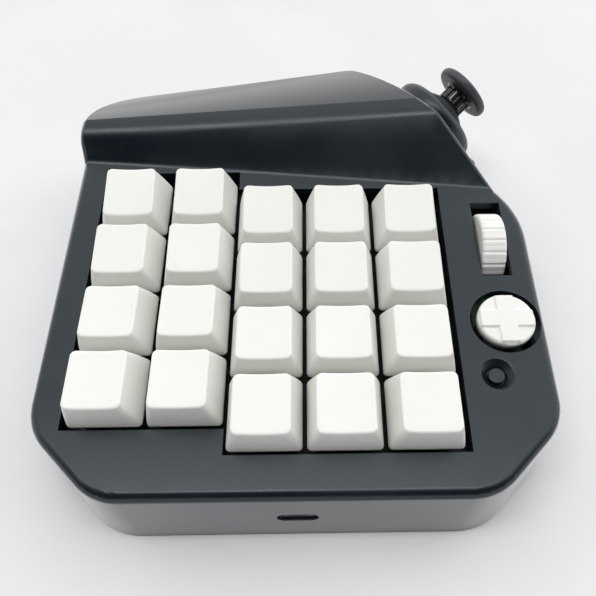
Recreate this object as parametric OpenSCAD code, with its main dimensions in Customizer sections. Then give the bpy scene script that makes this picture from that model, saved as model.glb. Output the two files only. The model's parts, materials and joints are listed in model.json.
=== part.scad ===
// One-handed gaming keypad: twenty sculpted keys, a scroll wheel, a four-way pad, a round button,
// a side button and a tilted thumbstick in one deep black case with a raised palm rest.

/* [Case] */
// Width of the case across its upper edge
case_w = 129.3; // [128.4:0.1:132]
// Height of the flat deck above the bottom edge of the case
case_h = 25; // [24.6:0.2:27]
// Length of the left side, from the front to the back corner
side_d = 129.6; // [129:0.1:131]
// How far the foot of the wall stands out beyond the upper edge
draft = 2.6; // [2.2:0.1:3]
// Wall thickness
wall = 2.5; // [2.2:0.1:2.6]
// Deck thickness
deck_t = 2.5; // [2.2:0.1:2.6]
// Rounding along the upper edge
edge_r = 2.4; // [1.6:0.1:2.6]
// Legs of the two front corner cuts
front_cut = 18; // [16:0.5:18.5]
// Radius of the front corners
front_r = 15; // [10:0.5:16]
// Distance from the front to the corner where the diagonal wall starts
shoulder_d = 83; // [82:0.1:85]
// Radius of the corner where the diagonal wall starts
shoulder_r = 27; // [26:0.5:32]
// Direction of the diagonal wall, in degrees from the width
diagonal_a = 130; // [129:0.2:131]
// Slant of the back wall, in degrees from the width
back_a = 6.4; // [6:0.1:6.8]
// Radius of the corner between the diagonal and the back wall
back_r = 6; // [5:0.5:8]
// Radius of the back left corner
heel_r = 19.5; // [16:0.5:21]

/* [Palm rest] */
// Distances from the front to the foot of the slope, at the left and at the right side
foot_d = [102.8, 89.4]; // [88:0.1:104]
// Distances from the front to the crest, at the left and at the right side
crest_d = [107.2, 110.6]; // [107:0.1:111]
// Heights of the crest above the deck, at the left and at the right side
crest_h = [6.7, 13.2]; // [6.4:0.1:13.6]
// Rounding of the crest
crest_r = 5; // [4:0.2:6]
// Rounding at the foot of the slope
foot_r = 3.4; // [2:0.2:4]
// Width of the level strip behind the crest
strip_w = 5.3; // [4.8:0.1:6]
// Falls of the arched back where it leaves the strip, in degrees, at the left and at the right side
arch_a = [15.5, 1]; // [1:0.5:17]
// Radii of the arched back, at the left and at the right side
arch_r = [67, 74]; // [60:1:76]
// Rounding along the edge of the palm rest
palm_edge_r = 2.3; // [1.8:0.1:2.6]

/* [Keys] */
// Distance between key centres
pitch = 19.05; // [18.9:0.05:19.1]
// Width of a keycap at its lower edge
cap_w = 18.2; // [18:0.1:18.3]
// Width of a keycap across its top
cap_top_w = 13.4; // [12.4:0.1:14]
// Wall of a keycap at its lower edge
cap_wall = 1.25; // [1.15:0.05:1.35]
// Thickness of a keycap's top
cap_top_t = 1.6; // [1.3:0.1:1.8]
// Heights of the far edge of the top, from the far row to the near row
far_h = [11, 10.6, 10, 11.5]; // [9.6:0.1:12]
// Heights of the near edge of the top, from the far row to the near row
near_h = [8.9, 9.4, 10.2, 11.4]; // [8.8:0.1:12]
// How far the far edge of the top lies behind the key's centre
far_y = 6.2; // [5.8:0.1:6.4]
// How far the near edge of the top lies before the key's centre
near_y = 8.6; // [8.2:0.1:8.6]
// Radius of the dish across a keycap
dish_r = 28; // [24:0.5:40]
// Shift of the two left columns away from the front
stagger = 6.5; // [6:0.1:6.8]
// Distance from the left side to the middle key column
keys_left = 57.1; // [57:0.1:57.4]
// Distance from the front to the middle of the three right columns
keys_front = 49; // [48.8:0.1:49.4]
// Key travel
travel = 4; // [3:0.1:4]
// How far the keycaps' lower edges lie below the deck
cap_sunk = 1; // [0.8:0.1:1.2]
// Gap between the keys and the sides of their opening
gap_side = 1.5; // [1.3:0.05:1.7]
// Gap between the keys and the near edges of their opening
gap_near = 0.65; // [0.6:0.05:0.9]
// Gap between the keys and the far edges of their opening
gap_far = 4.45; // [4:0.05:4.7]

/* [Switches] */
// Height of the keycaps' lower edges above the switch plate
cap_over_plate = 6.2; // [6.1:0.1:6.4]
// Switch plate thickness
plate_t = 1.5; // [1.2:0.1:1.6]
// Circuit board thickness
board_t = 1.6; // [1.2:0.1:1.8]
// Depth of a switch below the top of the plate
switch_depth = 5; // [4.9:0.1:5.2]
// Width of the switch cut-outs in the plate
switch_hole = 14; // [13.9:0.05:14.1]
// Width of a switch's rim above the plate
switch_rim = 15.6; // [15:0.1:15.6]
// Height of a switch's cover above the plate
cover_h = 6.6; // [6.5:0.1:6.7]

/* [Scroll wheel] */
// Distance from the right side to the wheel
wheel_right = 10.5; // [10.4:0.1:10.7]
// Distance from the front to the wheel's axle
wheel_front = 72.5; // [72:0.1:73]
// Wheel radius
wheel_r = 11; // [10.4:0.1:11.4]
// Wheel width
wheel_w = 6.6; // [6:0.1:6.8]
// How far the wheel stands above the deck
wheel_up = 4; // [3.4:0.1:4.2]
// Width of the wheel's slot
slot_w = 8.2; // [7.8:0.1:8.4]
// Length of the wheel's slot
slot_l = 25.2; // [24:0.1:25.4]
// Number of finger grooves around the wheel
grooves = 20; // [16:1:24]
// Axle radius
axle_r = 1.5; // [1.2:0.1:1.8]

/* [Pad and buttons] */
// Distance from the right side to the pad
pad_right = 10.4; // [10.3:0.1:10.8]
// Distance from the front to the pad
pad_front = 45.6; // [45.2:0.1:46]
// Radius of the pad's hole
pad_hole_r = 9.2; // [9:0.1:9.3]
// Radius of the pad
pad_r = 7.5; // [7.2:0.1:7.8]
// Height of the pad's face above the deck
pad_up = 1.1; // [0.8:0.1:1.6]
// Width of the arms of the raised cross on the pad
cross_arm = 4.8; // [4:0.1:5.4]
// Height of the raised cross on the pad
cross_h = 0.6; // [0.4:0.1:0.8]
// Distance from the right side to the round button
button_right = 14.8; // [14.6:0.1:15]
// Distance from the front to the round button
button_front = 30.4; // [30:0.1:30.8]
// Radius of the dish around the round button
dish_out_r = 4.3; // [4:0.1:4.6]
// Depth of the dish around the round button
dish_depth = 1.8; // [1.4:0.1:1.9]
// Radius of the round button
button_r = 2.1; // [1.9:0.1:2.2]
// How far the round button's top lies below the deck
button_sunk = 0.9; // [0.6:0.1:1.2]
// Travel of the round button and of the side button
button_travel = 0.5; // [0.3:0.1:0.5]
// Distance along the diagonal wall to the side button
side_along = 22.7; // [22.4:0.1:23]
// Width of the side button
side_w = 6; // [5.4:0.1:6.2]
// Height of the side button
side_h = 3.6; // [3.2:0.1:3.8]
// How far the side button stands out of the wall
side_out = 2.4; // [1.8:0.1:2.8]
// Depth of the side button's middle below the deck
side_sunk = 0.5; // [0.2:0.1:0.8]

/* [Thumbstick] */
// Distance along the diagonal wall to the stick's pivot
stick_along = 43.5; // [43:0.1:44]
// Distance of the pivot outside the diagonal wall
stick_out = 3.45; // [3.2:0.05:3.7]
// Depth of the pivot below the deck
stick_sunk = 5.6; // [5.3:0.1:5.8]
// Direction of the stick in plan, in degrees
stick_turn = 36; // [35:0.5:38]
// Rise of the stick above the level, in degrees
stick_rise = 27; // [26.5:0.5:28]
// Radius of the collar
collar_r = 14.5; // [14.4:0.1:14.6]
// Height of the collar's top above the pivot
collar_up = 9.5; // [9.2:0.1:9.6]
// Radius of the domed skirt around the pivot
skirt_r = 13; // [12.9:0.02:13.04]
// Radius of the fluted neck
neck_r = 4.5; // [4:0.1:4.6]
// Radius of the cap
stick_cap_r = 9.1; // [8.6:0.1:9.6]
// Height of the underside of the cap above the pivot
stick_cap_up = 17; // [16.8:0.1:17.6]
// Thickness of the cap
stick_cap_t = 2.8; // [2.6:0.1:3.2]

/* [Underside] */
// Height of the rubber feet below the case
foot_h = 0.8; // [0.6:0.1:1]
// Radius of the rubber feet
rubber_r = 5; // [4:0.5:6]
// Thickness of the bottom cover
cover_t = 2.5; // [2.2:0.1:2.6]
// Radius of the posts that clamp the switch plate
post_r = 3.2; // [3:0.1:3.2]
// Radius of the posts' lower ends
pin_post_r = 2.2; // [2.1:0.05:2.3]
// Radius of the case screws
screw_r = 1; // [0.9:0.05:1.1]

/* [Clearances] */
// Around pieces that slide or tilt
slide_gap = 0.3; // [0.25:0.05:0.35]
// Around shafts and pins that turn
turn_gap = 0.05; // [0.03:0.01:0.08]
// Around pieces that are fitted together and stay still
fit_gap = 0.05; // [0.03:0.01:0.08]
// Around the posts, the plate's edge and the bottom cover
loose_gap = 0.25; // [0.2:0.05:0.3]

/* [Hidden] */
$fn = 64;
rows = 4;
cols = 5;
left_cols = 2;
middle = 2;
arc_steps = 8;
edge_steps = 5;
eps = 0.01;
// How far cuts run past a face, and how deep joined pieces run into each other
over = 1;
// Inset that keeps the palm rest's walls off the planes of the case's walls
seam = 0.02;
// Inset of the hollow under the palm rest from the hollow of the case
palm_inset = 0.1;
reach = 300;

left = -case_w / 2;
right = case_w / 2;
deck_z = foot_h + case_h;
lip_z = deck_z - edge_r;
roof_z = deck_z - deck_t;
cap_z = deck_z - cap_sunk;
plate_z = cap_z - cap_over_plate;
board_z = plate_z - switch_depth;
floor_z = foot_h + cover_t;

function unit(v) = v / norm(v);
function left_of(d) = [-d[1], d[0]];
function line_cross(p, d, q, e) = p + d * cross(q - p, e) / cross(d, e);
function direction(a) = [cos(a), sin(a)];

// Corners of the upper edge, counter-clockwise, with the front at y = 0
shoulder = [right, shoulder_d];
heel = [left, side_d];
back_corner = line_cross(shoulder, direction(diagonal_a), heel, direction(back_a));
corners = [
    [left + front_cut, 0],
    [right - front_cut, 0],
    [right, front_cut],
    shoulder,
    back_corner,
    heel,
    [left, front_cut]
];
corner_r = [front_r, front_r, front_r, shoulder_r, back_r, heel_r, front_r];
n_corners = len(corners);

// Corner i of the outline moved inwards by s
function moved_corner(i, s) =
    let (a = corners[(i + n_corners - 1) % n_corners])
    let (b = corners[i % n_corners])
    let (c = corners[(i + 1) % n_corners])
    let (d = unit(b - a))
    let (e = unit(c - b))
    line_cross(b + s * left_of(d), d, b + s * left_of(e), e);

// Points of a rounded corner b between its neighbours a and c
function corner_arc(a, b, c, r) =
    let (d = unit(b - a))
    let (turn = acos(d * unit(c - b)))
    let (centre = b - d * r * tan(turn / 2) + left_of(d) * r)
    let (start = atan2(d[1], d[0]) - 90)
    [for (i = [0 : arc_steps]) centre + r * direction(start + turn * i / arc_steps)];

function raw_outline(s) = [
    for (i = [0 : n_corners - 1])
        each corner_arc(
            moved_corner(i + n_corners - 1, s), moved_corner(i, s), moved_corner(i + 1, s),
            corner_r[i] - s)
];

// The front lies so that the origin is under the middle of the whole case
front = -(max([for (p = raw_outline(-draft)) p[1]]) - draft) / 2;
function outline(s) = [for (p = raw_outline(s)) p + [0, front]];
// Inset of the wall's outer face at height z
function wall_inset(z) = draft * (z - lip_z) / (lip_z - foot_h);

function key_x(c) = left + keys_left + (c - middle) * pitch;
function key_y(r, c) = front + keys_front + ((rows - 1) / 2 - r) * pitch + (c < left_cols ? stagger : 0);
key_list = [for (r = [0 : rows - 1]) for (c = [0 : cols - 1]) [r, c]];

// Edges of the key opening, for the left and for the right block
open_x = [
    key_x(0) - cap_w / 2 - gap_side,
    (key_x(left_cols - 1) + key_x(left_cols)) / 2,
    key_x(cols - 1) + cap_w / 2 + gap_side
];
open_near = [for (c = [0, cols - 1]) key_y(rows - 1, c) - cap_w / 2 - gap_near];
open_far = [for (c = [0, cols - 1]) key_y(0, c) + cap_w / 2 + gap_far];

// Palm rest: the foot of its slope on the deck
foot_y = front + (foot_d[0] + foot_d[1]) / 2;
foot_a = atan2(foot_d[1] - foot_d[0], case_w);
// Places behind the foot: end of the deck, end of the hollow under it, start of the palm rest's hollow
deck_end = 2;
hollow_end = 3;
palm_start = 1;
palm_roof = 3.2;
arch_sweep = 40;
profile_steps = 6;
slope_steps = 3;
strips = 7;
loft_x = case_w / 2 + over;
// Fraction of the width by which the strips run out on each side, to the foot of the wall
loft_out = draft / (2 * loft_x);
loft_t = [0 : 1 / strips : 1];
// Steps of the surface that evens out the strips, and its depth under their edges
skim_steps = 28;
skim = 0.05;
// How far the rounding at the slope's foot runs into the slope
fillet_bite = 0.12;
// How far the leaning wall runs up into the upright wall of the palm rest
wall_lap = 0.3;

// Controls
pad_pivot_up = 4.9;
wheel_p = [right - wheel_right, front + wheel_front, deck_z + wheel_up - wheel_r];
pad_p = [right - pad_right, front + pad_front, board_z + pad_pivot_up];
button_p = [right - button_right, front + button_front, 0];
shoulder_p = [shoulder[0], shoulder[1] + front, 0];
diagonal_d = [cos(diagonal_a), sin(diagonal_a), 0];
diagonal_n = [sin(diagonal_a), -cos(diagonal_a), 0];
side_p = shoulder_p + side_along * diagonal_d + [0, 0, deck_z - side_sunk];
stick_p = shoulder_p + stick_along * diagonal_d + stick_out * diagonal_n + [0, 0, deck_z - stick_sunk];

// Places of the posts: six that clamp plate and board, two under the palm rest
post_gap = 0.1;
post_out = post_r + post_gap;
near_post = 2.4;
heel_post = [12, 14];
back_post = [5, 12];
posts = [
    [open_x[0] - post_out, (key_y(0, 0) + key_y(1, 0)) / 2, 0],
    [open_x[0] - post_out, (key_y(2, 0) + key_y(3, 0)) / 2, 0],
    [(key_x(0) + key_x(1)) / 2, open_near[0] - 2 * post_out, 0],
    [(key_x(3) + key_x(4)) / 2, open_near[1] - post_out - gap_near, 0],
    [open_x[2] + post_out, key_y(rows - 1, cols - 1) - near_post, 0],
    [open_x[2] + post_out, open_far[1] - post_out, 0],
    [heel[0] + heel_post[0], heel[1] + front - heel_post[1], 0],
    [key_x(middle) + back_post[0], back_corner[1] + front - back_post[1], 0]
];
clamp_posts = 6;

// Places of the rubber feet: two at the front, one at the heel, one under the stick
front_foot = [18, 30];
heel_foot = [15, 22];
stick_foot = [42, 24];
feet = [
    [left + front_foot[0], front + front_foot[1], 0],
    [right - front_foot[0], front + front_foot[1], 0],
    [left + heel_foot[0], heel[1] + front - heel_foot[1], 0],
    [right - stick_foot[0], shoulder_p[1] + stick_foot[1], 0]
];

// Switch details
rim_t = 1;
switch_floor_t = 1.5;
peg_r = 1.95;
peg_l = 3.2;
step_w = 14.2;
step_h = 2;
top_w = 10.8;
cover_wall = 1.4;
slot_stem = [7.7, 6.5];
stem_w = 7;
stem_d = 5.8;
flange_w = 8.9;
flange_d = 8;
flange_t = 1.3;
stem_up = 0.4;
cross_w = 4;
cross_t = 1.2;
cross_l = 3.4;
socket_r = 2.75;
spring_r = 2.15;
spring_t = 0.45;

// Heights inside a switch
switch_top = plate_z + cover_h;
stem_low = board_z + switch_floor_t + travel + slide_gap;
stem_top = switch_top + stem_up;
flange_z = switch_top - cover_wall - fit_gap - flange_t;

// Keycap details
cap_round = 0.9;

// Control details
groove_r = 0.9;
groove_out = 0.5;
upright = [2.5, 8, 7.6];
upright_gap = 0.6;
gimbal_pin_r = 0.7;
gimbal_r = [3.2, 4.6];
gimbal_t = 2;
gimbal_ear = [5, 6.4];
ear_w = 4;
cross_in = 0.6;
pad_shaft_r = 2;
pad_base_t = 1.6;
pad_face_t = 3;
button_flange_r = 3.2;
button_flange_t = 1.2;
tact_w = 6;
tact_h = 3.5;
tact_gap = 0.1;
tact_cap_r = 1.7;
side_tact_w = 4.5;
side_tail = 1.2;
side_tail_t = 0.9;
shelf_t = 2;
// Places along the side button's axis: back of the button, face and back of its switch
side_back = -wall - palm_inset - wall_inset(deck_z) - side_tail_t - tact_gap;
side_tact_y = side_back - button_travel - tact_gap;
side_tact_z = -side_h / 2 - side_tact_w / 2;

// Socket details
usb_w = 8.94;
usb_h = 3.26;
usb_l = 7.4;
usb_t = 0.32;
usb_cut = 0.6;
usb_sunk = 0.5;
tongue_w = 6.7;
tongue_t = 0.7;
tongue_l = 5.6;
usb_z = board_z - board_t / 2;
usb_y = front + wall_inset(usb_z) + usb_sunk;

// Thumbstick details
collar_wall = 1.1;
bore_r = collar_r - collar_wall;
socket_up = 4;
socket_bed = 0.6;
lid_fall = 0.6;
shoulder_round = 3.2;
shoulder_a = 75;
lip_gap = 0.2;
skirt_t = 1;
skirt_a = 65;
skirt_steps = 12;
shaft_r = 2;
shaft_up = 15;
yoke_r = [5.2, 7.2];
yoke_t = 3;
yoke_pin_r = 1;
yoke_ear = [8, 9.8];
base_up = -6;
base_t = 3;
flutes = 12;
flute_r = 0.7;
flute_out = 0.3;
// Width of the cap's rim and the depths of its dish, beside the rim and in the middle
thumb_rim = 3;
thumb_dish = [0.6, 0.9];

// Screw details
head_r = 1.9;
head_t = 1.2;
screw_l = 9;
hex_r = 0.9;

// Stacks rings of the outline, each given as [inset, height], into one solid
module ring_stack(rings) {
    n = len(outline(0));
    points = [for (s = rings) for (p = outline(s[0])) [p[0], p[1], s[1]]];
    top = (len(rings) - 1) * n;
    sides = [
        for (k = [0 : len(rings) - 2])
            for (i = [0 : n - 1])
                let (j = (i + 1) % n)
                [k * n + i, (k + 1) * n + i, (k + 1) * n + j, k * n + j]
    ];
    caps = [[for (i = [0 : n - 1]) i], [for (i = [n - 1 : -1 : 0]) top + i]];
    polyhedron(points, concat(sides, caps));
}

// Everything behind a line that lies d behind the foot of the palm rest's slope
module behind(d) {
    translate([0, foot_y, 0])
        rotate(foot_a)
            translate([-reach / 2, d, 0])
                cube([reach, reach, deck_z * 3]);
}

// A solid through profiles that stand at equal distances between two fractions of the width
module loft(profiles, from = 0, to = 1) {
    n = len(profiles[0]);
    last = len(profiles) - 1;
    points = [
        for (k = [0 : last])
            let (x = loft_x * (2 * (from + (to - from) * k / last) - 1))
            for (p = profiles[k]) [x, p[0], p[1]]
    ];
    sides = [
        for (k = [0 : last - 1])
            for (i = [0 : n - 1])
                let (j = (i + 1) % n)
                each [
                    [k * n + i, k * n + j, (k + 1) * n + j],
                    [k * n + i, (k + 1) * n + j, (k + 1) * n + i]
                ]
    ];
    ends = [[for (i = [n - 1 : -1 : 0]) i], [for (i = [0 : n - 1]) last * n + i]];
    polyhedron(points, concat(sides, ends));
}

// Value between the left and the right one of a pair, at the fraction t of the width
function across(pair, t) = pair[0] + (pair[1] - pair[0]) * t;
// Fraction of the width at the fraction t of the way across the strips
function out_at(t) = across([-loft_out, 1 + loft_out], t);
function foot_at(t) = [front + across(foot_d, t), deck_z];
function crest_at(t) = [front + across(crest_d, t), deck_z + across(crest_h, t)];
function slope_at(t) = let (d = crest_at(t) - foot_at(t)) atan2(d[1], d[0]);

// Points of the rounded crest at t, from the slope to the strip
function crest_arc(t) =
    let (a = slope_at(t))
    let (centre = crest_at(t) + crest_r * [tan(a / 2), -1])
    [for (i = [0 : profile_steps]) centre + crest_r * direction(90 + a * (1 - i / profile_steps))];

// Points of the arched back at t, from the strip down to a level under the case
function arch_arc(t) =
    let (a = across(arch_a, t))
    let (r = across(arch_r, t))
    let (centre = crest_at(t) + [strip_w, 0] - r * direction(90 - a))
    let (end = a + arch_sweep)
    let (tail = centre + r * direction(90 - end))
    concat(
        [for (i = [0 : 2 * profile_steps])
            centre + r * direction(90 - a - arch_sweep * i / (2 * profile_steps))],
        [tail + (tail[1] + over) * [1 / tan(end), -1]]
    );

// Points of the slope at t, from a level under the deck up to the crest's rounding
function slope_line(t) =
    let (low = foot_at(t) - over * [1 / tan(slope_at(t)), 1])
    let (high = crest_arc(t)[0])
    [for (i = [0 : slope_steps - 1]) low + (high - low) * i / slope_steps];

// Profile of the palm rest at t: slope, rounded crest, level strip and arched back
function palm_profile(t) =
    let (deep = foot_at(t) - (deck_z + over) * [1 / tan(slope_at(t)), 1])
    concat([deep], slope_line(t), crest_arc(t), arch_arc(t));

// Profile of the fillet between the deck and the slope at t
function fillet_profile(t) =
    let (a = slope_at(t))
    let (start = foot_at(t) - [foot_r * tan(a / 2) - fillet_bite, 0])
    let (arc = [for (i = [0 : profile_steps])
        start + foot_r * ([0, 1] + direction(a * i / profile_steps - 90))])
    concat([start - [0, over]], arc, [arc[profile_steps] - [0, over]]);

// The space under the palm rest's surface, lowered by a given depth
module under_palm(depth) {
    translate([0, 0, -depth])
        loft([for (t = loft_t) palm_profile(t)]);
}

// A block inside the wall's outer face moved inwards by s, from height low upwards
module wall_block(s, low) {
    high = 2 * deck_z;
    ring_stack([[s + wall_inset(low), low], [s + wall_inset(high), high]]);
}

// A block inside the outline moved inwards by s, from a little under the lip upwards
module upright_block(s) {
    ring_stack([[s, lip_z - over], [s, 2 * deck_z]]);
}

// The palm rest's upper part in strips across its width, with its rim rounded
module palm_strips() {
    for (k = [0 : strips - 1])
        let (from = out_at(k / strips))
        let (to = out_at((k + 1) / strips))
        hull()
            for (i = [0 : edge_steps])
                let (a = 90 * i / edge_steps)
                intersection() {
                    upright_block(seam + palm_edge_r * (1 - cos(a)));
                    translate([0, 0, -palm_edge_r * (1 - sin(a))])
                        loft([palm_profile(from), palm_profile(to)], from, to);
                }
}

// The palm rest; its wall leans like the case's wall as far as the lip and stands upright above it
module palm_rest() {
    intersection() {
        ring_stack([for (z = [foot_h + seam, lip_z + wall_lap]) [seam + wall_inset(z), z]]);
        behind(deck_end - over);
    }
    intersection() {
        palm_strips();
        translate([0, 0, -skim])
            loft([for (k = [0 : skim_steps]) palm_profile(out_at(k / skim_steps))], -loft_out, 1 + loft_out);
    }
    intersection() {
        wall_block(palm_edge_r / 2, lip_z);
        loft([for (t = loft_t) fillet_profile(t)]);
    }
}

// The outside of the case, solid
module case_block() {
    difference() {
        ring_stack(concat(
            [[-draft, foot_h]],
            [for (i = [0 : edge_steps])
                let (a = 90 * i / edge_steps)
                [edge_r * (1 - cos(a)), lip_z + edge_r * sin(a)]]
        ));
        behind(deck_end);
    }
    palm_rest();
}

// The hollow of the case, open below
module case_hollow() {
    low = foot_h - over;
    difference() {
        ring_stack([[wall + wall_inset(low), low], [wall + wall_inset(roof_z), roof_z]]);
        translate([0, 0, low])
            behind(hollow_end);
    }
    intersection() {
        wall_block(wall + palm_inset, low);
        under_palm(palm_roof);
        translate([0, 0, low])
            behind(palm_start);
    }
}

// The opening that the keys stand in, and the holes of the controls
module deck_openings() {
    translate([0, 0, roof_z - over])
        linear_extrude(deck_t + 2 * over)
            polygon([
                [open_x[0], open_near[0]], [open_x[1], open_near[0]],
                [open_x[1], open_near[1]], [open_x[2], open_near[1]],
                [open_x[2], open_far[1]], [open_x[1], open_far[1]],
                [open_x[1], open_far[0]], [open_x[0], open_far[0]]
            ]);
    translate([wheel_p[0] - slot_w / 2, wheel_p[1] - slot_l / 2, roof_z - over])
        cube([slot_w, slot_l, deck_t + 2 * over]);
    translate([pad_p[0], pad_p[1], roof_z - over])
        cylinder(h = deck_t + 2 * over, r = pad_hole_r);
    translate(button_p + [0, 0, roof_z - over])
        cylinder(h = deck_t + 2 * over, r = button_r + slide_gap);
    translate(button_p + [0, 0, deck_z - dish_depth])
        cylinder(h = dish_depth + eps, r1 = button_r + slide_gap, r2 = dish_out_r);
}

// A rounded bar along +Y
module bar_along_y(w, h, l) {
    rotate([-90, 0, 0]) {
        for (side = [-1, 1])
            translate([side * (w - h) / 2, 0, 0])
                cylinder(h = l, d = h);
        translate([-(w - h) / 2, -h / 2, 0])
            cube([w - h, h, l]);
    }
}

// Moves a child from the stick's own frame, pivot at its origin and stick along +Z, to its place
module on_stick() {
    translate(stick_p)
        rotate([0, 90 - stick_rise, stick_turn])
            children();
}

// Moves a child so that its +Y points out of the diagonal wall at the side button
module on_side() {
    translate(side_p)
        rotate(diagonal_a - 180)
            children();
}

// The space outside a plane that lies d inside the diagonal wall
module outside_diagonal(d) {
    translate(shoulder_p)
        rotate(diagonal_a - 180)
            translate([-reach / 2, -d, -reach / 2])
                cube(reach);
}

// The tube on the diagonal wall that the thumbstick stands in
module stick_socket() {
    intersection() {
        on_stick()
            translate([0, 0, -2 * collar_r])
                cylinder(h = 2 * collar_r + socket_up, r = collar_r);
        outside_diagonal(wall - socket_bed);
    }
}

// The posts that hang from the deck and from the palm rest
module case_posts() {
    for (i = [0 : len(posts) - 1])
        difference() {
            union() {
                intersection() {
                    translate(posts[i] + [0, 0, plate_z])
                        cylinder(h = deck_z, r = post_r);
                    if (i < clamp_posts)
                        cube([reach, reach, 2 * (deck_z - over)], center = true);
                    else
                        under_palm(over);
                }
                translate(posts[i] + [0, 0, floor_z])
                    cylinder(h = plate_z - floor_z + over, r = pin_post_r);
            }
            translate(posts[i] + [0, 0, floor_z - over])
                cylinder(h = screw_l, r = screw_r + fit_gap);
        }
}

// A tongue under the palm rest that backs the side button's switch
module side_shelf() {
    intersection() {
        on_side()
            translate([-side_tact_w / 2, side_tact_y - tact_h - shelf_t, side_tact_z - side_tact_w / 2])
                cube([side_tact_w, shelf_t, deck_z]);
        under_palm(over);
    }
}

module top_case() {
    color("#2b2d30") {
        difference() {
            union() {
                case_block();
                stick_socket();
            }
            case_hollow();
            deck_openings();
            translate([0, front - draft - over, usb_z])
                bar_along_y(usb_w + 2 * usb_cut, usb_h + 2 * usb_cut, wall + draft + 2 * over);
            on_stick()
                translate([0, 0, -collar_r])
                    cylinder(h = 3 * collar_r, r = bore_r);
            on_side()
                translate([0, -2 * wall, 0])
                    bar_along_y(side_w + 2 * slide_gap, side_h + 2 * slide_gap, 4 * wall);
        }
        case_posts();
        side_shelf();
    }
}

module bottom_cover() {
    color("#26282b")
        difference() {
            union() {
                translate([0, 0, foot_h])
                    linear_extrude(cover_t)
                        polygon(outline(wall + wall_inset(floor_z) + loose_gap));
                for (i = [0 : clamp_posts - 1])
                    translate(posts[i] + [0, 0, floor_z - over])
                        cylinder(h = board_z - board_t - floor_z + over, r = post_r);
            }
            for (i = [0 : len(posts) - 1]) {
                if (i < clamp_posts)
                    translate(posts[i] + [0, 0, floor_z])
                        cylinder(h = board_z, r = pin_post_r + loose_gap);
                translate(posts[i])
                    cylinder(h = floor_z + over, r = screw_r + loose_gap);
                translate(posts[i] + [0, 0, foot_h - over])
                    cylinder(h = over + head_t + fit_gap, r = head_r + loose_gap);
            }
            for (p = feet)
                translate(p)
                    cylinder(h = 2 * foot_h, r = rubber_r + fit_gap);
            on_stick()
                translate([0, 0, -2 * collar_r])
                    cylinder(h = 2 * collar_r, r = collar_r + loose_gap);
        }
}

module cover_screws() {
    color("#8d9095")
        for (p = posts)
            translate(p + [0, 0, foot_h])
                difference() {
                    union() {
                        translate([0, 0, fit_gap])
                            cylinder(h = head_t, r = head_r);
                        translate([0, 0, head_t])
                            cylinder(h = screw_l - over, r = screw_r);
                    }
                    cylinder(h = head_t / 2, r = hex_r, $fn = 6);
                }
}

module rubber_feet() {
    color("#17181a")
        for (p = feet)
            translate(p)
                cylinder(h = 2 * foot_h - fit_gap, r = rubber_r);
}

// A board that fills the case before the palm rest, at height z
module board_blank(z, t) {
    translate([0, 0, z - t])
        linear_extrude(t)
            intersection() {
                polygon(outline(wall + loose_gap));
                translate([-reach / 2, front])
                    square([reach, foot_y - front]);
            }
}

module switch_plate() {
    color("#6f7479")
        difference() {
            board_blank(plate_z, plate_t);
            translate([open_x[2] + 2 * post_out, front - over, 0])
                cube([reach, reach, deck_z]);
            for (k = key_list)
                translate([key_x(k[1]), key_y(k[0], k[1]), plate_z - plate_t / 2])
                    cube([switch_hole, switch_hole, 2 * plate_t], center = true);
            for (i = [0 : clamp_posts - 1])
                translate(posts[i])
                    cylinder(h = deck_z, r = pin_post_r + loose_gap);
        }
}

module circuit_board() {
    color("#1f4a33")
        difference() {
            board_blank(board_z, board_t);
            for (k = key_list)
                translate([key_x(k[1]), key_y(k[0], k[1]), 0])
                    cylinder(h = deck_z, r = peg_r + fit_gap);
            for (i = [0 : clamp_posts - 1])
                translate(posts[i])
                    cylinder(h = deck_z, r = pin_post_r + loose_gap);
            translate(wheel_p)
                cube([slot_w, 2 * wheel_r, 4 * board_z], center = true);
            translate([-usb_w / 2 - loose_gap, usb_y - over, 0])
                cube([usb_w + 2 * loose_gap, usb_l + over + loose_gap, deck_z]);
        }
}

// The fixed parts of one switch, at the origin of its key
module switch_housing() {
    inner = step_w - 2 * cover_wall;
    difference() {
        union() {
            translate([0, 0, (board_z + plate_z) / 2])
                cube([switch_hole - 2 * fit_gap, switch_hole - 2 * fit_gap, switch_depth], center = true);
            translate([0, 0, plate_z + rim_t / 2])
                cube([switch_rim, switch_rim, rim_t], center = true);
            translate([0, 0, board_z - peg_l])
                cylinder(h = peg_l + over, r = peg_r);
            translate([-step_w / 2, -step_w / 2, plate_z])
                cube([step_w, step_w, rim_t + step_h]);
            translate([-top_w / 2, -top_w / 2, plate_z])
                cube([top_w, top_w, cover_h]);
        }
        translate([-flange_w / 2 - slide_gap, -flange_d / 2 - slide_gap, board_z + switch_floor_t])
            cube([
                flange_w + 2 * slide_gap, flange_d + 2 * slide_gap,
                switch_top - cover_wall - board_z - switch_floor_t
            ]);
        translate([-slot_stem[0] / 2, -slot_stem[1] / 2, plate_z])
            cube([slot_stem[0], slot_stem[1], deck_z]);
    }
}

module switch_housings() {
    color("#34373b")
        for (k = key_list)
            translate([key_x(k[1]), key_y(k[0], k[1]), 0])
                switch_housing();
}

module switch_springs() {
    color("#b9bcc0")
        for (k = key_list)
            translate([key_x(k[1]), key_y(k[0], k[1]), board_z + switch_floor_t])
                difference() {
                    cylinder(h = stem_low - board_z - switch_floor_t, r = spring_r, $fn = 32);
                    translate([0, 0, -over])
                        cylinder(h = stem_low, r = spring_r - spring_t, $fn = 32);
                }
}

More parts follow.
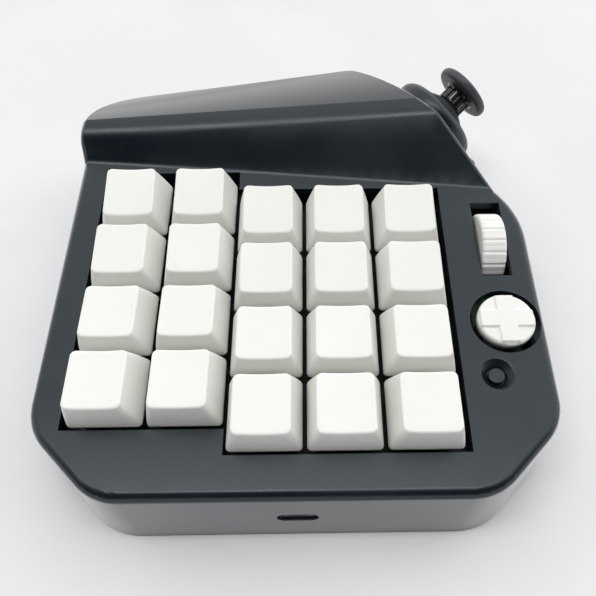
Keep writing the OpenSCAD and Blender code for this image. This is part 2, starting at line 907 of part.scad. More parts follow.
// The sliding stem of one switch
module stem() {
    color("#a8322f") {
        translate([-stem_w / 2, -stem_d / 2, stem_low])
            cube([stem_w, stem_d, stem_top - stem_low]);
        translate([-flange_w / 2, -flange_d / 2, flange_z])
            cube([flange_w, flange_d, flange_t]);
        for (turn = [0, 90])
            rotate(turn)
                translate([-cross_w / 2, -cross_t / 2, stem_top - over])
                    cube([cross_w, cross_t, cross_l + over]);
    }
}

// The outside of a keycap of row r, from its lower edge at the origin
module cap_block(r, w, top_w, inset, low) {
    top = top_w / 2 - cap_round;
    hull() {
        translate([0, 0, low])
            linear_extrude(eps)
                for (x = [-1, 1])
                    for (y = [-1, 1])
                        translate([x, y] * (w / 2 - cap_round))
                            circle(cap_round, $fn = 16);
        for (x = [-top, top]) {
            translate([x, far_y - inset - cap_round, far_h[r] - inset - cap_round])
                sphere(cap_round, $fn = 12);
            translate([x, inset + cap_round - near_y, near_h[r] - inset - cap_round])
                sphere(cap_round, $fn = 12);
        }
    }
}

// One keycap of row r, with its dish and the socket for the stem's cross
module keycap(r) {
    inner_w = cap_w - 2 * cap_wall;
    lean = atan((far_h[r] - near_h[r]) / (far_y + near_y));
    mid = [(far_y - near_y) / 2, (far_h[r] + near_h[r]) / 2];
    sag = dish_r - sqrt(dish_r * dish_r - cap_top_w * cap_top_w / 4);
    socket_z = stem_top - cap_z + fit_gap;
    color("#eeece4")
        translate([0, 0, cap_z])
            difference() {
                union() {
                    difference() {
                        cap_block(r, cap_w, cap_top_w, 0, 0);
                        cap_block(r, inner_w, cap_top_w - 2 * cap_wall, cap_top_t, -eps);
                    }
                    translate([0, 0, socket_z])
                        cylinder(h = mid[1] - cap_top_t / 2 - sag - socket_z, r = socket_r);
                }
                translate([0, mid[0], mid[1] + dish_r - sag])
                    rotate([90 + lean, 0, 0])
                        cylinder(h = 3 * cap_w, r = dish_r, center = true, $fn = 180);
                for (turn = [0, 90])
                    rotate(turn)
                        translate([-cross_w / 2 - fit_gap, -cross_t / 2 - fit_gap, socket_z - over])
                            cube([cross_w + 2 * fit_gap, cross_t + 2 * fit_gap, cross_l + over + fit_gap]);
            }
}

module usb_socket() {
    color("#b4b7ba")
        translate([0, usb_y, usb_z]) {
            difference() {
                bar_along_y(usb_w, usb_h, usb_l);
                translate([0, -over, 0])
                    bar_along_y(usb_w - 2 * usb_t, usb_h - 2 * usb_t, usb_l);
            }
            translate([-tongue_w / 2, usb_l - tongue_l - over, -tongue_t / 2])
                cube([tongue_w, tongue_l + over / 2, tongue_t]);
        }
}

module scroll_wheel() {
    color("#e9e8e2")
        translate(wheel_p)
            rotate([0, 90, 0]) {
                difference() {
                    cylinder(h = wheel_w, r = wheel_r, center = true, $fn = 120);
                    for (i = [0 : grooves - 1])
                        rotate(i * 360 / grooves)
                            translate([wheel_r + groove_out, 0, 0])
                                cylinder(h = 2 * wheel_w, r = groove_r, center = true, $fn = 24);
                }
                cylinder(h = wheel_w + 2 * (upright_gap + upright[0]), r = axle_r, center = true);
            }
}

// A gimbal ring about the origin with pins along X that reach out to pin_end
module gimbal_ring(radii, t, pin, pin_end) {
    difference() {
        union() {
            cylinder(h = t, r = radii[1], center = true);
            rotate([0, 90, 0])
                cylinder(h = 2 * pin_end, r = pin, center = true);
        }
        cylinder(h = 4 * t, r = radii[0], center = true);
        rotate([90, 0, 0])
            cylinder(h = 4 * radii[1], r = pin + turn_gap, center = true);
    }
}

// Two ears that carry a gimbal ring's pins, standing on a floor at height low
module gimbal_ears(ear, w, pin, low) {
    for (side = [0, 180])
        rotate(side)
            difference() {
                translate([ear[0], -w / 2, low])
                    cube([ear[1] - ear[0], w, w / 2 - low]);
                rotate([0, 90, 0])
                    cylinder(h = 2 * ear[1], r = pin + turn_gap);
            }
}

module dpad_gimbal() {
    color("#c9cbce")
        translate(pad_p)
            gimbal_ring(gimbal_r, gimbal_t, gimbal_pin_r, gimbal_ear[1]);
}

module dpad() {
    face_z = deck_z + pad_up - pad_p[2];
    color("#e9e8e2")
        translate(pad_p) {
            translate([0, 0, face_z - pad_face_t])
                cylinder(h = pad_face_t, r = pad_r);
            intersection() {
                cylinder(h = 2 * deck_z, r = pad_r - cross_in);
                for (turn = [0, 90])
                    rotate(turn)
                        translate([-pad_r, -cross_arm / 2, face_z - over])
                            cube([2 * pad_r, cross_arm, over + cross_h]);
            }
            translate([0, 0, -gimbal_t / 2])
                cylinder(h = face_z, r = pad_shaft_r);
            rotate([90, 0, 0])
                cylinder(h = 2 * gimbal_r[1], r = gimbal_pin_r, center = true);
        }
}

module round_button() {
    top = deck_z - button_sunk;
    low = board_z + tact_h + button_travel + tact_gap;
    flange_top = roof_z - tact_gap;
    color("#1c1d1f")
        translate(button_p) {
            translate([0, 0, low])
                cylinder(h = top - low, r = button_r);
            translate([0, 0, flange_top - button_flange_t])
                cylinder(h = button_flange_t, r = button_flange_r);
        }
}

module side_button() {
    color("#1c1d1f")
        on_side() {
            translate([0, side_back, 0])
                bar_along_y(side_w, side_h, side_out - side_back);
            translate([-side_tact_w / 2, side_back, -side_h / 2 - side_tail])
                cube([side_tact_w, side_tail_t, side_tail + side_h / 2]);
        }
}

// The wheel's two uprights, the pad's base and the two push switches
module control_switches() {
    color("#3a3d41") {
        for (side = [-1, 1])
            difference() {
                translate([
                    wheel_p[0] + side * (wheel_w / 2 + upright_gap + upright[0] / 2) - upright[0] / 2,
                    wheel_p[1] - upright[1] / 2, board_z
                ])
                    cube(upright);
                translate(wheel_p)
                    rotate([0, 90, 0])
                        cylinder(h = 3 * wheel_w, r = axle_r + turn_gap, center = true);
            }
        translate(pad_p)
            gimbal_ears(gimbal_ear, ear_w, gimbal_pin_r, board_z - pad_p[2] + pad_base_t / 2);
        translate([pad_p[0], pad_p[1], board_z])
            cylinder(h = pad_base_t, r = gimbal_ear[1]);
        translate(button_p + [-tact_w / 2, -tact_w / 2, board_z])
            cube([tact_w, tact_w, tact_h]);
        on_side()
            translate([-side_tact_w / 2, side_tact_y - tact_h, side_tact_z - side_tact_w / 2])
                cube([side_tact_w, tact_h, side_tact_w]);
    }
}

module stick_collar() {
    open_r = sqrt(pow(skirt_r + slide_gap, 2) - pow(collar_up, 2));
    color("#232528")
        on_stick()
            difference() {
                rotate_extrude($fn = 96)
                    polygon(concat(
                        [[0, socket_up + fit_gap], [collar_r, socket_up + fit_gap]],
                        [for (i = [0 : profile_steps])
                            [collar_r - shoulder_round, collar_up - lid_fall - shoulder_round]
                                + shoulder_round * direction(shoulder_a * i / profile_steps)],
                        [[open_r, collar_up], [0, collar_up]]
                    ));
                sphere(skirt_r + slide_gap, $fn = 96);
                cylinder(h = 2 * socket_up, r = bore_r);
                cylinder(h = 2 * collar_up, r = open_r - lip_gap);
            }
}

module stick_base() {
    color("#3a3d41")
        on_stick() {
            translate([0, 0, base_up - base_t])
                cylinder(h = base_t, r = bore_r - fit_gap);
            rotate(90)
                gimbal_ears(yoke_ear, ear_w, yoke_pin_r, base_up - base_t / 2);
        }
}

module stick_gimbal() {
    color("#c9cbce")
        on_stick()
            rotate(90)
                gimbal_ring(yoke_r, yoke_t, yoke_pin_r, yoke_ear[1]);
}

module stick_shaft() {
    color("#9a9da1")
        on_stick() {
            translate([0, 0, -yoke_t / 2])
                cylinder(h = yoke_t / 2 + shaft_up, r = shaft_r);
            rotate([0, 90, 0])
                cylinder(h = 2 * yoke_r[1], r = yoke_pin_r, center = true);
        }
}

module stick_cap() {
    rim = stick_cap_t / 2;
    inner_r = skirt_r - skirt_t;
    color("#3d4043")
        on_stick()
            difference() {
                union() {
                    rotate_extrude($fn = 96)
                        polygon(concat(
                            [for (i = [skirt_steps : -1 : 0])
                                skirt_r * direction(90 - skirt_a * i / skirt_steps)],
                            [for (i = [0 : skirt_steps])
                                inner_r * direction(90 - skirt_a * i / skirt_steps)]
                        ));
                    difference() {
                        translate([0, 0, inner_r - 2 * over])
                            cylinder(h = stick_cap_up - inner_r + 3 * over, r = neck_r);
                        for (i = [0 : flutes - 1])
                            rotate(i * 360 / flutes)
                                translate([neck_r + flute_out, 0, skirt_r])
                                    cylinder(h = stick_cap_up, r = flute_r, $fn = 24);
                    }
                    translate([0, 0, stick_cap_up])
                        rotate_extrude($fn = 96)
                            polygon(concat(
                                [[0, 0]],
                                [for (i = [0 : arc_steps])
                                    [stick_cap_r - rim, rim] + rim * direction(180 * i / arc_steps - 90)],
                                [
                                    [stick_cap_r - thumb_rim, stick_cap_t - thumb_dish[0]],
                                    [0, stick_cap_t - thumb_dish[1]]
                                ]
                            ));
                }
                translate([0, 0, -over])
                    cylinder(h = shaft_up + over + fit_gap, r = shaft_r + fit_gap);
            }
}

top_case();
bottom_cover();
switch_plate();
circuit_board();
switch_housings();
switch_springs();
usb_socket();
cover_screws();
rubber_feet();
stick_collar();
stick_base();
stick_gimbal();
stick_shaft();
stick_cap();
scroll_wheel();
dpad();
dpad_gimbal();
round_button();
side_button();
control_switches();
for (k = key_list)
    translate([key_x(k[1]), key_y(k[0], k[1]), 0]) {
        keycap(k[0]);
        stem();
    }
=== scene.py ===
import json
import bpy
import bmesh
import numpy as np
from mathutils import Euler, Matrix, Vector


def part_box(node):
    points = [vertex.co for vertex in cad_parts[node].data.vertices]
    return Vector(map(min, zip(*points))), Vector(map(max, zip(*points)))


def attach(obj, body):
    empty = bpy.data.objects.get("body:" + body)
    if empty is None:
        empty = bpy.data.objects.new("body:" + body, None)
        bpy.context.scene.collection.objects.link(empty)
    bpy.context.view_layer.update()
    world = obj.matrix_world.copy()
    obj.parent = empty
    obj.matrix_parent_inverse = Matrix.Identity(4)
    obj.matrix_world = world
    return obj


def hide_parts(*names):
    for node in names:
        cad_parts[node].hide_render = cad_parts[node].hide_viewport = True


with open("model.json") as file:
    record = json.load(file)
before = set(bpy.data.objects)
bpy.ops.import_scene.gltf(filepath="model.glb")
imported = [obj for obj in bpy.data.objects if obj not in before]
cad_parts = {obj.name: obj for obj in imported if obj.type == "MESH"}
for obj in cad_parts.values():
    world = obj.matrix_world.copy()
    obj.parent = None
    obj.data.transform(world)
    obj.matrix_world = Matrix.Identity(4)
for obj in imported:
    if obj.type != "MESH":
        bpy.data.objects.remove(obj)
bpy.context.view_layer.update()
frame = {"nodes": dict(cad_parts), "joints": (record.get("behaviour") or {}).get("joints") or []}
nodes = frame["nodes"]

MM = 0.001
MICRON = 1e-6
TAU = 2 * np.pi
# Points of a new piece that lie closer than this are one point
WELD = 2 * MICRON


def joint_place(name):
    """The anchor of one of the frame's joints, in millimetres."""
    joint = next(j for j in frame["joints"] if j["name"] == name)
    return np.array(joint["pos_m"]) / MM


# Places and sizes of the solids, in millimetres
DECK_Z = 25.8
WHEEL_P = joint_place("wheel_turn")
PAD_P = joint_place("pad_tilt_x")
BUTTON_P = (49.85, -38.8626, 0.0)
SIDE_P = (50.0587, 31.1266, 25.3)
STICK_P = joint_place("stick_tilt_side")
STICK_TURN = np.radians(36)
STICK_RISE = np.radians(27)
DIAGONAL = np.radians(130)
# Heights of a keycap's far and near edges, from the far row to the near row
FAR_H = (11.0, 10.6, 10.0, 11.5)
NEAR_H = (8.9, 9.4, 10.2, 11.4)

# The palm rest's profile: pairs are for its left and its right side
FRONT = -69.2626
LOFT_X = 65.65
FOOT_D = (102.8, 89.4)
CREST_D = (107.2, 110.6)
CREST_H = (6.7, 13.2)
STRIP_W = 5.3
# Rounding of the crest, fall of the arched back and its radius: of the solid, and softer for the shading
SOLID = ((5.0, 5.0), np.radians((15.5, 1.0)), (67.0, 74.0))
SHADED = ((8.5, 6.0), np.radians((15.5, 9.0)), (80.0, 250.0))
PALM_CORNERS = ((-64.65, 60.3374), (64.65, 13.7374))
BACK = np.radians(6.4)
FOOT_R = 3.4
FOOT_BITE = 0.12

# Facing values, 0 straight on and 1 edge on, between which the gloss grows and the clear coat comes in
GLOSS_VIEWS = (0.34, 0.68)
COAT_VIEWS = (0.45, 0.72)
COOL_GLOSS = (0.84, 0.95, 1.0, 1.0)

# Studio: colours of the sky, the lamp's place and size in metres, and the camera's place in millimetres
VIEWER_SIDE = (0.025, 0.035, 0.05, 1.0)
FAR_SIDE = (1.0, 1.0, 1.0, 1.0)
HORIZON = (1.30, 1.28, 1.24, 1.0)
FAR_GLOW = (1.05, 1.05, 1.05, 1.0)
RIGHT_GLOW = (1.35, 1.35, 1.35, 1.0)
SKY_STRENGTH = 1.18
LAMP_P = (-0.12, 0.05, 1.25)
LAMP_SIZE = (1.2, 0.2)
LAMP_POWER = 5.2
CAMERA_P = (4.6143, -101.1468, 159.5287)
CAMERA_TURN = np.radians((27.2998, -0.20789, -0.88342))
CAMERA_LENS = 36.034
CAMERA_SENSOR = 36.0
CAMERA_SHIFT = (-0.03888, 0.09047)


def add_object(name, data):
    """A new object in the scene with this mesh, light or camera."""
    made = bpy.data.objects.new(name, data)
    bpy.context.scene.collection.objects.link(made)
    return made


def grid_faces(nu, nv):
    """Quads of a grid that closes on itself along its first parameter and is open along its second."""
    i, j = np.meshgrid(np.arange(nu), np.arange(nv - 1), indexing="ij")
    k = (i + 1) % nu
    return np.stack([i * nv + j, k * nv + j, k * nv + j + 1, i * nv + j + 1], -1).reshape(-1, 4)


def put_surface(name, grid, material, body, stands_for, crease):
    """Makes one piece from a grid of points in millimetres: welds its seams and poles, turns its faces
    outwards, keeps edges sharper than the crease angle, and lets it ride."""
    mesh = bpy.data.meshes.new(name)
    mesh.from_pydata((grid.reshape(-1, 3) * MM).tolist(), [], grid_faces(*grid.shape[:2]).tolist())
    bm = bmesh.new()
    bm.from_mesh(mesh)
    bmesh.ops.remove_doubles(bm, verts=bm.verts, dist=WELD)
    bmesh.ops.dissolve_degenerate(bm, edges=bm.edges, dist=WELD / 2)
    bmesh.ops.recalc_face_normals(bm, faces=bm.faces)
    bm.to_mesh(mesh)
    bm.free()
    mesh.shade_smooth()
    mesh.set_sharp_from_angle(angle=np.radians(crease))
    mesh.materials.append(material)
    piece = add_object(name, mesh)
    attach(piece, body)
    if stands_for:
        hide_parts(*stands_for)


def around(profile, steps):
    """A profile of (radius, height) turned about the Z axis: each point goes round a circle of its radius."""
    a = np.linspace(0, TAU, steps, endpoint=False)[:, None]
    r, z = np.asarray(profile, float).T
    return np.stack([r * np.cos(a), r * np.sin(a), z + 0 * a], -1)


def arc(centre, radius, start, end, steps):
    """Points of a circle's arc in the plane of a profile, with its angles in degrees."""
    a = np.radians(np.linspace(start, end, steps))
    return np.stack([centre[0] + radius * np.cos(a), centre[1] + radius * np.sin(a)], -1).tolist()


def at_height(path, z):
    """A path in plan lifted to one height, or to a height for each of its points."""
    return np.column_stack([path, np.broadcast_to(z, len(path))])


def about_z(points, angle):
    """Points turned about the Z axis."""
    c, s = np.cos(angle), np.sin(angle)
    return points @ np.array([[c, -s, 0], [s, c, 0], [0, 0, 1]]).T


def stick_place(points):
    """Turns points from the stick's own frame, stick along +Z, to the stick's place on the case."""
    c, s = np.sin(STICK_RISE), np.cos(STICK_RISE)
    lean = np.array([[c, 0, s], [0, 1, 0], [-s, 0, c]])
    return about_z(points @ lean.T, STICK_TURN) + STICK_P


def rounded_frame(half_x, near, far, radius, side=10, corner=6):
    """Closed path of a rectangle with rounded corners: four straight runs, four quarter arcs."""
    a = np.linspace(0, np.pi / 2, corner)
    runs = []
    for k, (cx, cy) in enumerate(((1, 1), (-1, 1), (-1, -1), (1, -1))):
        x0 = cx * (half_x - radius)
        y0 = far - radius if cy > 0 else near + radius
        t = a + k * np.pi / 2
        runs.append(np.stack([x0 + radius * np.cos(t), y0 + radius * np.sin(t)], -1))
    parts = []
    f = np.linspace(0, 1, side + 2)[1:-1, None]
    for k in range(4):
        end, begin = runs[k][-1], runs[(k + 1) % 4][0]
        parts += [runs[k], end + f * (begin - end)]
    return np.concatenate(parts)


# Shared surface effects

def feed(tree, socket, value):
    """Links a socket to another one, or sets it to a plain value."""
    if isinstance(value, bpy.types.NodeSocket):
        tree.links.new(value, socket)
    else:
        socket.default_value = value


def noise(tree, vector, scale, detail):
    """Fractal noise over a vector."""
    n = tree.nodes.new("ShaderNodeTexNoise")
    n.inputs["Detail"].default_value = detail
    n.inputs["Roughness"].default_value = 0.55
    tree.links.new(vector, n.inputs["Vector"])
    feed(tree, n.inputs["Scale"], scale)
    return n.outputs["Fac"]


def calc(tree, kind, a, b):
    """One sum or product of two values."""
    m = tree.nodes.new("ShaderNodeMath")
    m.operation = kind
    feed(tree, m.inputs[0], a)
    feed(tree, m.inputs[1], b)
    return m.outputs[0]


def span(tree, value, low, high, out_low, out_high):
    """A smooth step: the outcome runs from out_low to out_high as the value runs from low to high."""
    r = tree.nodes.new("ShaderNodeMapRange")
    r.interpolation_type = "SMOOTHSTEP"
    tree.links.new(value, r.inputs["Value"])
    for label, v in zip(("From Min", "From Max", "To Min", "To Max"), (low, high, out_low, out_high)):
        r.inputs[label].default_value = v
    return r.outputs["Result"]


def mixed(tree, share, a, b):
    """A colour that runs from a to b as the share runs from 0 to 1."""
    mix = tree.nodes.new("ShaderNodeMix")
    mix.data_type = "RGBA"
    tree.links.new(share, mix.inputs["Factor"])
    feed(tree, mix.inputs["A"], a)
    feed(tree, mix.inputs["B"], b)
    return mix.outputs["Result"]


def group(name, inputs, outputs):
    """A shader node group with float or vector inputs and float outputs."""
    tree = bpy.data.node_groups.new(name, "ShaderNodeTree")
    for label, kind in inputs:
        tree.interface.new_socket(name=label, in_out="INPUT", socket_type=kind)
    for label in outputs:
        tree.interface.new_socket(name=label, in_out="OUTPUT", socket_type="NodeSocketFloat")
    return tree, tree.nodes.new("NodeGroupInput"), tree.nodes.new("NodeGroupOutput")


def moulded_grain():
    """Spark-eroded mould texture: small rounded pits from cell distances over finer noise."""
    inputs = [("Vector", "NodeSocketVector"), ("Pit Scale", "NodeSocketFloat"),
              ("Mottle Scale", "NodeSocketFloat")]
    tree, gin, gout = group("moulded_grain", inputs, ["Height", "Mottle"])
    share = 0.6
    cells = tree.nodes.new("ShaderNodeTexVoronoi")
    cells.feature = "SMOOTH_F1"
    tree.links.new(gin.outputs["Vector"], cells.inputs["Vector"])
    tree.links.new(gin.outputs["Pit Scale"], cells.inputs["Scale"])
    fine = noise(tree, gin.outputs["Vector"], gin.outputs["Pit Scale"], 2.0)
    height = calc(tree, "ADD", calc(tree, "MULTIPLY", cells.outputs["Distance"], share),
                  calc(tree, "MULTIPLY", fine, share))
    tree.links.new(height, gout.inputs["Height"])
    mottle = noise(tree, gin.outputs["Vector"], gin.outputs["Mottle Scale"], 4.0)
    tree.links.new(span(tree, mottle, 0.32, 0.68, 0.0, 1.0), gout.inputs["Mottle"])
    return tree


def drawn_lines():
    """Fine lines along one axis, as on drawn or turned metal: noise stretched forty times."""
    inputs = [("Vector", "NodeSocketVector"), ("Scale", "NodeSocketFloat")]
    tree, gin, gout = group("drawn_lines", inputs, ["Lines"])
    stretch = tree.nodes.new("ShaderNodeMapping")
    stretch.inputs["Scale"].default_value = (1.0, 40.0, 1.0)
    tree.links.new(gin.outputs["Vector"], stretch.inputs["Vector"])
    tree.links.new(noise(tree, stretch.outputs["Vector"], gin.outputs["Scale"], 3.0), gout.inputs["Lines"])
    return tree


GRAIN = moulded_grain()
LINES = drawn_lines()


# Finishes

def shader(name):
    """A new material with its node tree, its shader and the piece's own coordinates."""
    mat = bpy.data.materials.new(name)
    mat.use_nodes = True
    tree = mat.node_tree
    bsdf = tree.nodes["Principled BSDF"]
    place = tree.nodes.new("ShaderNodeTexCoord").outputs["Object"]
    return mat, tree, bsdf, place


def two_colours(tree, bsdf, share, dark, light):
    """The base colour runs from dark to light with the share."""
    tree.links.new(mixed(tree, share, (*dark, 1), (*light, 1)), bsdf.inputs["Base Color"])


def bump(tree, bsdf, height, depth):
    """Tilts the shading by a height map of this depth in metres."""
    b = tree.nodes.new("ShaderNodeBump")
    b.inputs["Distance"].default_value = depth
    b.inputs["Strength"].default_value = 1.0
    tree.links.new(height, b.inputs["Height"])
    tree.links.new(b.outputs["Normal"], bsdf.inputs["Normal"])


def moulded(name, dark, light, rough, pits, depth, mottle=40.0, grazing=1.0):
    """Moulded plastic or rubber: two close colours, the mould's pits, and an uneven gloss. Towards grazing
    views the roughness falls to the share called grazing, and below 1 a clear coat comes in."""
    mat, tree, bsdf, place = shader(name)
    g = tree.nodes.new("ShaderNodeGroup")
    g.node_tree = GRAIN
    tree.links.new(place, g.inputs["Vector"])
    g.inputs["Pit Scale"].default_value = pits
    g.inputs["Mottle Scale"].default_value = mottle
    two_colours(tree, bsdf, g.outputs["Mottle"], dark, light)
    view = tree.nodes.new("ShaderNodeLayerWeight").outputs["Facing"]
    even = span(tree, g.outputs["Mottle"], 0, 1, *rough)
    gloss = calc(tree, "MULTIPLY", even, span(tree, view, *GLOSS_VIEWS, 1.0, grazing))
    tree.links.new(gloss, bsdf.inputs["Roughness"])
    if grazing < 1:
        tree.links.new(span(tree, view, *COAT_VIEWS, 0.0, 1.0), bsdf.inputs["Coat Weight"])
        bsdf.inputs["Coat Roughness"].default_value = rough[0] * grazing
    bump(tree, bsdf, g.outputs["Height"], depth)
    return mat


def metal(name, dark, light, rough, scale):
    """Drawn metal: colour and gloss follow fine lines."""
    mat, tree, bsdf, place = shader(name)
    g = tree.nodes.new("ShaderNodeGroup")
    g.node_tree = LINES
    tree.links.new(place, g.inputs["Vector"])
    g.inputs["Scale"].default_value = scale
    two_colours(tree, bsdf, g.outputs["Lines"], dark, light)
    tree.links.new(span(tree, g.outputs["Lines"], 0.3, 0.7, *rough), bsdf.inputs["Roughness"])
    bump(tree, bsdf, g.outputs["Lines"], 10 * MICRON)
    bsdf.inputs["Metallic"].default_value = 1.0
    return mat


case_black = moulded("case_black", (0.0055, 0.0085, 0.0120), (0.0075, 0.0112, 0.0155), (0.27, 0.33),
                     pits=3600, depth=20 * MICRON, grazing=0.35)
ring_black = moulded("ring_black", (0.0055, 0.0085, 0.0120), (0.0075, 0.0112, 0.0155), (0.34, 0.40),
                     pits=3600, depth=20 * MICRON)
for tinted in (case_black, ring_black):
    tinted.node_tree.nodes["Principled BSDF"].inputs["Specular Tint"].default_value = COOL_GLOSS
cover_black = moulded("cover_black", (0.010, 0.011, 0.013), (0.014, 0.015, 0.017), (0.5, 0.6),
                      pits=3000, depth=40 * MICRON)
keycap_white = moulded("keycap_white", (0.835, 0.840, 0.795), (0.860, 0.865, 0.825), (0.42, 0.5),
                       pits=5200, depth=8 * MICRON)
control_white = moulded("control_white", (0.835, 0.840, 0.800), (0.860, 0.865, 0.830), (0.32, 0.40),
                        pits=5200, depth=5 * MICRON)
stick_rubber = moulded("stick_rubber", (0.036, 0.038, 0.044), (0.046, 0.048, 0.055), (0.36, 0.46),
                       pits=4200, depth=10 * MICRON)
neck_black = moulded("neck_black", (0.010, 0.011, 0.012), (0.014, 0.015, 0.016), (0.10, 0.16),
                     pits=4200, depth=2 * MICRON)
button_black = moulded("button_black", (0.0065, 0.0080, 0.0100), (0.0090, 0.0110, 0.0135), (0.28, 0.34),
                       pits=4200, depth=6 * MICRON)
switch_dark = moulded("switch_dark", (0.010, 0.011, 0.012), (0.016, 0.017, 0.018), (0.35, 0.45),
                      pits=3000, depth=10 * MICRON)
stem_red = moulded("stem_red", (0.36, 0.035, 0.03), (0.42, 0.045, 0.04), (0.35, 0.45),
                   pits=3000, depth=10 * MICRON)
gimbal_grey = moulded("gimbal_grey", (0.50, 0.51, 0.53), (0.58, 0.59, 0.61), (0.35, 0.45),
                      pits=3000, depth=10 * MICRON)
board_green = moulded("board_green", (0.012, 0.060, 0.032), (0.022, 0.095, 0.052), (0.3, 0.42),
                      pits=1500, depth=10 * MICRON, mottle=260.0)
foot_black = moulded("foot_black", (0.016, 0.016, 0.017), (0.023, 0.023, 0.024), (0.7, 0.8),
                     pits=2500, depth=40 * MICRON)
plate_black = metal("plate_black", (0.020, 0.021, 0.022), (0.028, 0.029, 0.030), (0.45, 0.55), scale=300)
bright_steel = metal("bright_steel", (0.55, 0.56, 0.57), (0.70, 0.71, 0.72), (0.22, 0.34), scale=500)
plated_shell = metal("plated_shell", (0.84, 0.84, 0.85), (0.93, 0.93, 0.94), (0.12, 0.20), scale=500)


# Keycaps

def keycap_points(row, tag):
    """A keycap as rings: up the inside, round the lower lip, up the leaning sides, over the rounded
    edge and across the dished top to its middle. The top is a plane that rises from the near to the
    far edge, less a parabola across the width."""
    far_h, near_h = FAR_H[row], NEAR_H[row]
    half, top_half, far, near = 9.07, 6.7, 6.2, -8.6
    edge_r, sag, bulge = 0.55, 0.6, 0.12
    low_corner, top_corner, hollow_corner = 1.1, 1.5, 0.9
    hollow, hollow_middle, wall = 0.62, 0.6, 1.2
    lip = ((1.25, 0.3), (1.05, 0.05), (0.5, 0.0), (0.2, 0.05), (0.05, 0.2))
    lip_h = 0.3
    middle = np.array([0.0, (far + near) / 2])

    def top(p):
        """Heights of the dished top over points in plan."""
        rise = near_h + (far_h - near_h) * (p[:, 1] - near) / (far - near)
        return rise - sag * np.clip(1 - (p[:, 0] / top_half) ** 2, 0, 1)

    def ring(f, inset, corner):
        """The frame at the fraction f of the way from the lower edge to the top."""
        hx = half + (top_half - half) * f - inset
        return rounded_frame(hx, -half + (near + half) * f + inset, half + (far - half) * f - inset, corner)

    inner, centre = ring(hollow, wall, hollow_corner), middle * hollow_middle
    rings = [at_height(centre + f * (inner - centre), near_h * hollow) for f in (0.0, 0.5, 1.0)]
    rings += [at_height(ring(0.0, inset, low_corner), z) for inset, z in lip]
    low, rim = ring(0.0, 0.0, low_corner), ring(1.0, 0.0, top_corner)
    edge_z = top(rim) - edge_r
    for f in np.linspace(0.06, 1, 9):
        p = low + (rim - low) * f
        p = p + bulge * np.sin(np.pi * f) * (p - middle) / np.linalg.norm(p - middle, axis=1, keepdims=True)
        rings.append(at_height(p, edge_z * f + lip_h * (1 - f)))
    for a in np.radians(np.linspace(15, 90, 6)):
        inset = edge_r * (1 - np.cos(a))
        p = ring(1.0, inset, top_corner - inset)
        rings.append(at_height(p, top(p) - edge_r * (1 - np.sin(a))))
    inside = rings[-1][:, :2]
    for f in np.linspace(0.92, 0, 12):
        p = middle + f * (inside - middle)
        rings.append(at_height(p, top(p)))
    first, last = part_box(f"keycap_{tag}")
    place = np.array([(first.x + last.x) / 2, (first.y + last.y) / 2, first.z]) / MM
    return np.stack(rings, 1) + place


for row in range(4):
    for column in range(5):
        tag = f"r{row + 1}c{column + 1}"
        put_surface(f"cap_{tag}", keycap_points(row, tag), keycap_white, f"key_{tag}",
                    [f"keycap_{tag}"], 60)


# Scroll wheel

def wheel_points():
    """A wheel turned about X: a profile with rounded shoulders and flat sides. Its radius drops in
    narrow grooves at equal angles and crowns a little between them, fading out towards the hub."""
    half, r, shoulder, steps = 3.3, 11.0, 0.9, 480
    axle_r, axle_end, chamfer = 1.5, 6.4, 0.2
    grooves, groove_half, groove_depth, crown = 20, 0.5, 0.3, 0.10
    fade_r, fade_w = 9.0, 1.2
    axle = [(0, axle_end), (axle_r - chamfer, axle_end), (axle_r, axle_end - chamfer), (axle_r, half)]
    flat = [(5.0, half), (8.8, half), (9.2, half)]
    side = axle + flat + arc((r - shoulder, half - shoulder), shoulder, 90, 0, 7)
    profile = np.array(side + [(a, -b) for a, b in side[::-1]])
    a = np.linspace(0, TAU, steps, endpoint=False)[:, None]
    pitch = TAU / grooves * r
    off = ((a / TAU * grooves + 0.5) % 1 - 0.5) * pitch
    dip = np.clip(1 - np.abs(off) / groove_half, 0, 1) ** 0.8
    fade = np.clip((profile[:, 0] - fade_r) / fade_w, 0, 1)
    radius = profile[:, 0] - (crown * (off / (pitch / 2)) ** 2 + groove_depth * dip) * fade
    x = np.broadcast_to(profile[:, 1], radius.shape)
    return np.stack([x, radius * np.cos(a), radius * np.sin(a)], -1) + WHEEL_P


put_surface("wheel_rim", wheel_points(), control_white, "wheel", ["scroll_wheel"], 35)


# Four-way pad

def pad_points():
    """A turned disc on a shaft. On its face the height rises by a smooth step where the distance to
    the nearer bar of a cross is below zero."""
    radius, proud, thick, edge_r, chamfer = 7.5, 1.1, 3.0, 0.8, 0.4
    shaft_r, shaft_end, face_r, face_depth = 2.0, -1.0, 6.6, 0.4
    bar_end, bar_half, bar_h, bar_edge = 6.9, 2.4, 0.6, 0.4
    face = DECK_Z + proud - PAD_P[2]
    under = face - thick
    edge = [(0, shaft_end), (shaft_r, shaft_end), (shaft_r, under), (radius - chamfer, under),
            (radius, under + chamfer)]
    rim = arc((radius - edge_r, face - edge_r), edge_r, 0, 90, 8)
    flat = [(r, face) for r in np.linspace(face_r, 0, 56)]
    points = around(edge + rim + flat, 256)
    x, y = np.abs(points[..., 0]), np.abs(points[..., 1])
    bar = np.minimum(np.maximum(x - bar_end, y - bar_half), np.maximum(y - bar_end, x - bar_half))
    t = np.clip(0.5 - bar / bar_edge, 0, 1)
    on_face = points[..., 2] > face - face_depth
    points[..., 2] += np.where(on_face, bar_h * t * t * (3 - 2 * t), 0)
    return points + PAD_P


put_surface("pad_face", pad_points(), control_white, "pad", ["dpad"], 50)


# Buttons

